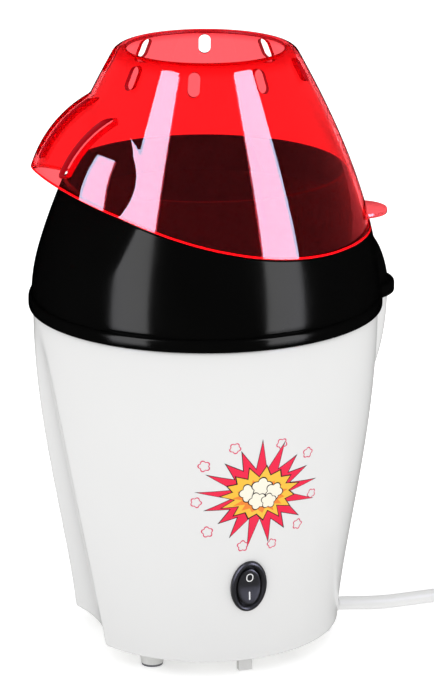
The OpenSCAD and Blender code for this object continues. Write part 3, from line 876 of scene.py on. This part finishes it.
INK_RED = flat_print("ink_red", (0.86, 0.004, 0.05), (0.92, 0.008, 0.065))
INK_PINK = flat_print("ink_pink", (0.72, 0.05, 0.13), (0.78, 0.07, 0.16))
INK_YELLOW = flat_print("ink_yellow", (0.92, 0.5, 0.03), (0.96, 0.58, 0.05))
INK_ORANGE = flat_print("ink_orange", (0.88, 0.22, 0.02), (0.92, 0.27, 0.03))
INK_DARK = flat_print("ink_dark", (0.015, 0.01, 0.012), (0.03, 0.02, 0.022))
INK_CREAM = flat_print("ink_cream", (0.9, 0.84, 0.68), (0.94, 0.9, 0.76))
BURST_Z = 99.5
BURST_SIDE = 3.5
INK_DEPTH = 0.05


def on_front(along, up, lift):
    """A point on the housing's front: arc length and height from the burst's middle."""
    z = BURST_Z + up
    r = HOUSING(z) + lift
    turn = -math.pi / 2 + (along + BURST_SIDE) / HOUSING(BURST_Z)
    return (r * math.cos(turn), r * math.sin(turn), z)


def print_patch(name, outline, lift, material, centre=(0, 0), rings=8, inner=None):
    """A thin skin of ink inside an outline, or between an inner and an outer outline."""
    count = len(outline)
    low = inner if inner else [centre] * count
    vertices = []
    for level in (lift, lift - INK_DEPTH):
        for i in range(rings + 1):
            t = i / rings
            for (ox, oy), (ix, iy) in zip(outline, low):
                vertices.append(on_front(ix + (ox - ix) * t, iy + (oy - iy) * t, level))
    faces = []
    layer = (rings + 1) * count
    for i in range(rings):
        for k in range(count):
            m = (k + 1) % count
            a, b, c, d = i * count + k, i * count + m, (i + 1) * count + m, (i + 1) * count + k
            faces.append((a, b, c, d))
            faces.append((layer + d, layer + c, layer + b, layer + a))
    for k in range(count):
        m = (k + 1) % count
        edge = rings * count
        faces.append((edge + k, edge + m, layer + edge + m, layer + edge + k))
        if inner:
            faces.append((m, k, layer + k, layer + m))
    piece = new_piece(name, vertices, faces, material, 60)
    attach(piece, "base")
    return piece


def star(points, inner, outer, wide, tall, turn=0.0, uneven=0.0, per_side=6):
    """Outline of a starburst whose tips vary by a fixed wave."""
    corners = []
    for i in range(2 * points):
        a = turn + math.pi * i / points
        wave = 1 + uneven * math.sin(2.4 * i + 0.7)
        r = (outer if i % 2 == 0 else inner) * wave
        corners.append((wide * r * math.cos(a), tall * r * math.sin(a)))
    outline = []
    for i, (x, y) in enumerate(corners):
        nx, ny = corners[(i + 1) % len(corners)]
        for k in range(per_side):
            t = k / per_side
            outline.append((x + (nx - x) * t, y + (ny - y) * t))
    return outline


def puff(x, y, size, lobes=5, count=60, turn=0.3):
    """Cloud outline of one popped kernel."""
    outline = []
    for i in range(count):
        a = 2 * math.pi * i / count
        r = size * (0.72 + 0.28 * abs(math.sin(lobes * (a + turn) / 2)))
        outline.append((x + r * math.cos(a), y + r * math.sin(a)))
    return outline


def shrink(outline, centre, share):
    """An outline scaled about a centre."""
    cx, cy = centre
    return [(cx + (x - cx) * share, cy + (y - cy) * share) for x, y in outline]


def build_burst():
    """Plain starburst with popped kernels in its middle and small clouds round it."""
    back = star(17, 15.5, 28.5, 1.0, 0.9, 0.1, 0.1)
    print_patch("burst_dark", [(x * 1.05, y * 1.05) for x, y in back], 0.06, INK_DARK, rings=14)
    print_patch("burst_red", back, 0.1, INK_RED, rings=14)
    middle_star = star(15, 12.0, 17.0, 1.15, 0.82, 0.2, 0.07)
    print_patch(
        "burst_dark_inner", [(x * 1.06, y * 1.07) for x, y in middle_star], 0.14, INK_DARK, rings=12
    )
    print_patch("burst_yellow", middle_star, 0.18, INK_YELLOW, rings=12)
    print_patch(
        "burst_orange", [(x * 0.72, y * 0.66 - 1.2) for x, y in middle_star], 0.21, INK_ORANGE,
        rings=10,
    )
    kernels = (
        (-6.2, 1.2, 4.6), (0.4, 3.4, 5.2), (6.8, 0.6, 4.5), (-1.6, -3.4, 4.4), (4.2, -4.0, 3.8),
    )
    for i, (x, y, size) in enumerate(kernels):
        cloud = puff(x, y, size, 5, 60, 0.4 * i)
        print_patch(
            f"kernel_edge_{i}", shrink(cloud, (x, y), 1.12), 0.24 + 0.04 * i, INK_DARK, (x, y), 5
        )
        print_patch(f"kernel_fill_{i}", cloud, 0.26 + 0.04 * i, INK_CREAM, (x, y), 5)
    small = (
        (-28.0, 16.5, 3.2), (-32.0, -3.0, 3.0), (-26.5, -19.0, 3.2), (-13.5, 25.5, 3.0),
        (-8.0, -27.5, 3.2), (9.5, 25.5, 3.0), (24.5, 18.0, 3.0), (29.5, -5.0, 2.8),
        (22.5, -20.0, 3.0), (8.0, -28.0, 2.8),
    )
    for i, (x, y, size) in enumerate(small):
        cloud = puff(x, y, size, 5, 40, 0.7 * i)
        print_patch(
            f"puff_{i}", cloud, 0.06, INK_PINK, (x, y), 2, inner=shrink(cloud, (x, y), 0.8)
        )


build_burst()

# ---------------------------------------------------------------- cord and plug

CORD_D = 7.0
CORD_R = CORD_D / 2
COIL_X = 206.0
COIL_Y = -42.0
COIL_R = 38.5
COIL_TURNS = 3.5
STEPS_PER_TURN = 32
CORD_ROUTE = [
    (72, 0, 5), (77, -0.3, 4.8), (82, -0.8, 4.4), (88, -1.3, 4), (94, -1.5, 3.7),
    (100, -1.5, 3.5), (108, -1.2, 3.5), (116, -0.8, 3.5), (124, -0.4, 3.5), (132, -0.1, 3.5),
    (140, 0, 3.5), (150, 0, 3.5), (160, 0, 3.5), (170, 0, 3.5), (182, 0, 3.5),
]
PLUG_X = 182.0
PLUG_Z = 9.0
CORD_TAIL = [(201, 10.45), (196, 10.2), (191, 9.7), (186, 9.2), (PLUG_X, PLUG_Z)]


def coil_point(turns):
    """A point of the coil after so many turns: two columns and two layers, a diameter apart."""
    step = 0.15
    inward = ease((turns - (1 - step)) / step) - ease((turns - (3 - step)) / step)
    upward = ease((turns - (2 - step)) / step)
    r = COIL_R + CORD_R - CORD_D * inward
    a = math.pi / 2 - 2 * math.pi * turns
    return (COIL_X + r * math.cos(a), COIL_Y + r * math.sin(a), CORD_R + CORD_D * upward)


def cord_path():
    """Line of the whole cord: the run from the base, the coil and the tail to the plug."""
    path = list(CORD_ROUTE)
    steps = int(COIL_TURNS * STEPS_PER_TURN)
    path += [coil_point(COIL_TURNS * i / steps) for i in range(steps + 1)]
    y = COIL_Y - COIL_R - CORD_R
    return path + [(x, y, z) for x, z in CORD_TAIL]


def build_cord():
    """The cord as a round curve along its line."""
    data = bpy.data.curves.new("power_cord_run", "CURVE")
    data.dimensions = "3D"
    data.bevel_depth = CORD_R * MM
    data.bevel_resolution = 6
    data.use_fill_caps = True
    path = cord_path()
    spline = data.splines.new("POLY")
    spline.points.add(len(path) - 1)
    for point, where in zip(spline.points, path):
        point.co = (*place(*where), 1)
    spline.use_smooth = True
    cord = bpy.data.objects.new("power_cord_run", data)
    bpy.context.collection.objects.link(cord)
    data.materials.append(MATERIALS["cord_white"])
    return cord, path


def lathe_x(name, profile, start, y, z, material, direction=-1):
    """A round piece along X: profile is (distance, radius) from start."""
    rings = []
    for along, r in profile:
        rings.append(
            [
                (start + direction * along, y + r * math.cos(a), z + r * math.sin(a))
                for a in (2 * math.pi * k / 40 for k in range(40))
            ]
        )
    return stack(name, rings, material, lambda p: p)


def build_plug():
    """Flat two-pin plug with a waisted grip, lying on its side face."""
    y = COIL_Y - COIL_R - CORD_R
    start = PLUG_X - 20
    rings = []
    for along, wide, tall in (
        (0, 14, 9), (0.6, 20, 12.5), (2, 26, 15.5), (5, 30, 17), (10, 31, 17.4), (15, 29.5, 16.6),
        (20, 29.5, 16.6), (25, 32, 17.6), (29, 34.6, 18), (34, 35.6, 18), (36.2, 35.2, 17.6),
        (36.9, 34, 16.4),
    ):
        rings.append(
            [(start - along, y + b, PLUG_Z + a) for a, b in stadium(tall, wide, 48)]
        )
    body = stack("plug_shell", rings, MATERIALS["cord_white"], lambda p: p)
    sleeve = [(0, 3.9)]
    for i in range(6):
        r = 3.9 + 1.4 * i / 6
        at = 1 + 3 * i
        sleeve += [(at, r + 0.25), (at + 1.6, r + 0.3), (at + 1.8, r - 0.25), (at + 2.8, r - 0.2)]
    sleeve += [(20.2, 5.5)]
    relief = lathe_x("plug_relief", sleeve, PLUG_X, y, PLUG_Z, MATERIALS["cord_white"])
    return body, relief


def build_relief():
    """Ribbed strain relief where the cord leaves the base."""
    profile = [(0, 4.4), (2, 4.8)]
    for i in range(7):
        at = 3 + 3.4 * i
        r = 4.75 - 0.55 * i / 7
        profile += [(at, r), (at + 2.2, r - 0.05), (at + 2.4, r - 0.5), (at + 3.2, r - 0.5)]
    profile += [(27.1, 4.1), (27.6, 3.8)]
    return lathe_x("strain_relief_boot", profile, 44, 0, 5, MATERIALS["cord_white"], 1)


cord, cord_points = build_cord()
plug, plug_relief = build_plug()
boot = build_relief()
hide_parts("power_cord", "power_cord_coil")
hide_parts("plug_body")
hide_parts("strain_relief")
for piece in (cord, plug, plug_relief, boot):
    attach(piece, "base")


def length_of(path):
    """Length of a line in metres."""
    return sum(math.dist(a, b) for a, b in zip(path, path[1:])) * MM


round(length_of(cord_points), 3)

# ---------------------------------------------------------------- floor and light


FLOOR_REACH = 5.0
FLOOR_GLOW = (0.4, 0.68)
GLOW_REACH = (0.12, 0.44)


def add_floor():
    """Pale floor with a painted glow that grows brighter away from the object, so that it ends in
    plain white.
    """
    data = bpy.data.meshes.new("floor")
    ends = (-FLOOR_REACH, FLOOR_REACH)
    data.from_pydata([(x, y, 0) for y in ends for x in ends], [], [(0, 1, 3, 2)])
    floor = bpy.data.objects.new("floor", data)
    bpy.context.collection.objects.link(floor)
    floor.location.z = TABLE
    material, nodes, links, shader = new_material("floor_white")
    cloud = noise(nodes, links, 3.0)
    pale = tint(nodes, links, cloud, (0.88, 0.88, 0.88), (0.9, 0.9, 0.9))
    links.new(pale, shader.inputs["Base Color"])
    shader.inputs["Roughness"].default_value = 0.9
    shader.inputs["Specular IOR Level"].default_value = 0.0
    # Painted glow: the floor emits light, weaker near the object and stronger far from it.
    shader.inputs["Emission Color"].default_value = (1, 1, 1, 1)
    where = nodes.new("ShaderNodeTexCoord")
    away = nodes.new("ShaderNodeVectorMath")
    away.operation = "LENGTH"
    links.new(where.outputs["Object"], away.inputs[0])
    painted_glow = spread(nodes, links, away.outputs["Value"], *FLOOR_GLOW, *GLOW_REACH)
    links.new(painted_glow, shader.inputs["Emission Strength"])
    data.materials.append(material)
    floor.visible_glossy = False


def add_world():
    """Even white surroundings, left out of mirror reflections."""
    world = bpy.data.worlds.new("studio")
    bpy.context.scene.world = world
    world.use_nodes = True
    back = world.node_tree.nodes["Background"]
    back.inputs["Color"].default_value = (1, 1, 1, 1)
    back.inputs["Strength"].default_value = 0.92
    world.cycles_visibility.glossy = False


AIM_HEIGHT = 0.2


def from_camera_side(x, y, z):
    """Metres to the right of, towards and above the foot of the axis, as the camera sees it."""
    c, s = math.cos(CAMERA_TURN), math.sin(CAMERA_TURN)
    return Vector((AXIS + x * c + y * s, x * s - y * c, z + TABLE))


def add_softbox(name, low, high, wide, color, radiance):
    """A rectangular softbox between two points, turned to the axis and seen only in gloss."""
    low, high = from_camera_side(*low), from_camera_side(*high)
    tall = (high - low).length
    data = bpy.data.lights.new(name, "AREA")
    data.shape = "RECTANGLE"
    data.size = wide
    data.size_y = tall
    data.color = color
    data.energy = radiance * math.pi * wide * tall
    box = bpy.data.objects.new(name, data)
    up = (high - low).normalized()
    away = (low + high) / 2 - Vector((AXIS, 0, AIM_HEIGHT + TABLE))
    away = (away - up * away.dot(up)).normalized()
    turn = Matrix((up.cross(away), up, away)).transposed()
    box.matrix_world = Matrix.Translation((low + high) / 2) @ turn.to_4x4()
    box.visible_diffuse = False
    box.visible_camera = False
    bpy.context.collection.objects.link(box)


add_floor()
add_world()
COOL = (0.72, 0.72, 1.0)
SOFTBOX_RADIANCE = 17.5
SOFTBOX_FOOT = -0.23
SOFTBOX_HEAD = 1.6
for name, x, y, wide in (("tall_left", -1.074, 0.944, 0.64), ("tall_right", 1.13, 0.876, 0.66)):
    foot, head = (x, y, SOFTBOX_FOOT), (x, y, SOFTBOX_HEAD)
    add_softbox(name, foot, head, wide, COOL, SOFTBOX_RADIANCE)
bpy.context.scene.view_settings.view_transform = "Standard"
